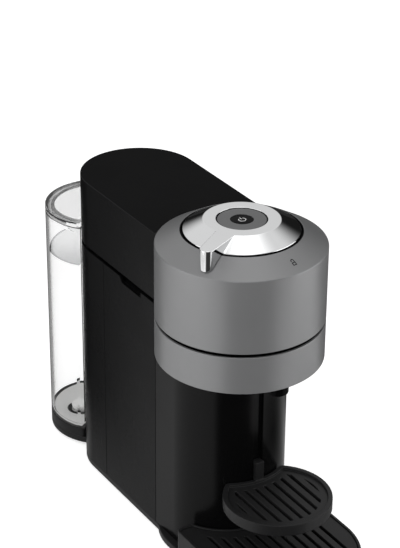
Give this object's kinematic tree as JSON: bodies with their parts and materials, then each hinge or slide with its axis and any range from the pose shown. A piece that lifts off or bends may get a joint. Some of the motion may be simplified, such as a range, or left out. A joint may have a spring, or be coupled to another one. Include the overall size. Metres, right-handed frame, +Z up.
{
  "type": "pod coffee machine",
  "caption": "Slim pod coffee machine: round tilting brewing head with turning lever and press button, clear lift-off water tank, pull-out pod bin, cup support and drip tray.",
  "frame": {"origin": "centre of the footprint at the underside of the feet", "axes": "+Z up, front with the spout at -Y, water tank at +Y, lever at rest towards -X"},
  "size_m": [0.142, 0.429, 0.314],
  "materials": {
    "black_plastic": "satin",
    "grey_plastic": "satin",
    "gloss_black": "gloss",
    "chrome": "polished",
    "clear_plastic": "clear",
    "rubber": "matte",
    "steel": "satin",
    "painted_metal": "satin",
    "aluminium": "satin",
    "brass": "satin",
    "board": "matte",
    "white_plastic": "matte"
  },
  "bodies": {
    "machine": {"base_plate": "black_plastic", "rubber_feet": "rubber", "base_screws": "steel", "main_frame": "black_plastic", "hinge_pin": "steel", "left_side_panel": "black_plastic", "right_side_panel": "black_plastic", "rear_shell": "black_plastic", "cable_gland": "black_plastic", "lower_head_ring": "grey_plastic", "head_floor": "black_plastic", "brew_bowl": "black_plastic", "holder_bearing": "steel", "coffee_spout": "gloss_black", "tank_dock": "black_plastic", "tank_socket": "black_plastic", "suction_hose": "rubber", "feed_hose": "rubber", "flow_meter": "white_plastic", "pump_mount": "rubber", "water_pump": "painted_metal", "heater_stand": "steel", "heater_block": "aluminium", "pressure_hose": "rubber", "hot_hose": "rubber", "deck_union": "brass", "control_board": "board"},
    "holder": {"pod_holder": "black_plastic"},
    "bin": {"pod_bin": "black_plastic"},
    "support": {"cup_support": "black_plastic"},
    "tray": {"drip_tray": "black_plastic"},
    "grid": {"drip_grid": "black_plastic"},
    "tank": {"water_tank": "clear_plastic", "tank_valve": "white_plastic"},
    "tank_cap": {"tank_lid": "clear_plastic"},
    "lid": {"top_cover": "black_plastic", "upper_head_ring": "grey_plastic", "lid_frame": "black_plastic", "lid_screws": "steel", "bearing_carrier": "black_plastic", "rotor_bearing": "steel", "motor_case": "painted_metal", "drive_belt": "rubber", "injector": "steel", "lid_hose": "rubber", "lid_union": "brass", "brew_seal": "rubber", "code_reader": "black_plastic", "knob_spigot": "black_plastic", "button_board": "board", "knob_bezel": "black_plastic"},
    "lever": {"lock_lever": "chrome", "lock_ring": "black_plastic"},
    "button": {"brew_button": "grey_plastic", "button_lens": "gloss_black"},
    "rotor": {"brew_rotor": "aluminium", "rotor_pulley": "aluminium"},
    "motor": {"motor_shaft": "steel", "motor_pulley": "aluminium"}
  },
  "joints": [
    {"name": "lid_open", "type": "hinge", "parent": "machine", "child": "lid", "pos_m": [0, 0.133, 0.285], "axis": [-1, 0, 0], "range_deg": [0, 30]},
    {"name": "lever_turn", "type": "hinge", "parent": "lid", "child": "lever", "pos_m": [0, -0.074, 0.3], "axis": [0, 0, 1], "range_deg": [0, 67]},
    {"name": "button_press", "type": "slide", "parent": "lid", "child": "button", "axis": [0, 0, -1], "range_m": [0, 0.0012], "stiffness_N_per_m": 600, "springref_m": -0.001},
    {"name": "rotor_spin", "type": "hinge", "parent": "lid", "child": "rotor", "pos_m": [0, -0.074, 0.25], "axis": [0, 0, 1], "continuous": true},
    {"name": "motor_spin", "type": "hinge", "parent": "lid", "child": "motor", "pos_m": [0, 0.008, 0.25], "axis": [0, 0, 1], "continuous": true},
    {"name": "holder_spin", "type": "hinge", "parent": "machine", "child": "holder", "pos_m": [0, -0.074, 0.2], "axis": [0, 0, 1], "continuous": true},
    {"name": "bin_slide", "type": "slide", "parent": "machine", "child": "bin", "axis": [0, -1, 0], "range_m": [0, 0.14]},
    {"name": "support_height", "type": "slide", "parent": "bin", "child": "support", "axis": [0, 0, 1], "range_m": [0, 0.055]},
    {"name": "tray_slide", "type": "slide", "parent": "bin", "child": "tray", "axis": [0, -1, 0], "range_m": [0, 0.08]},
    {"name": "grid_lift", "type": "slide", "parent": "tray", "child": "grid", "axis": [0, 0, 1], "range_m": [0, 0.03]},
    {"name": "tank_lift", "type": "slide", "parent": "machine", "child": "tank", "axis": [0, 0, 1], "range_m": [0, 0.275]},
    {"name": "tank_lid_lift", "type": "slide", "parent": "tank", "child": "tank_cap", "axis": [0, 0, 1], "range_m": [0, 0.03]}
  ],
  "couplings": [
    {"joint": "motor_spin", "follows": "rotor_spin", "ratio": 2},
    {"joint": "holder_spin", "follows": "rotor_spin", "ratio": 1}
  ]
}
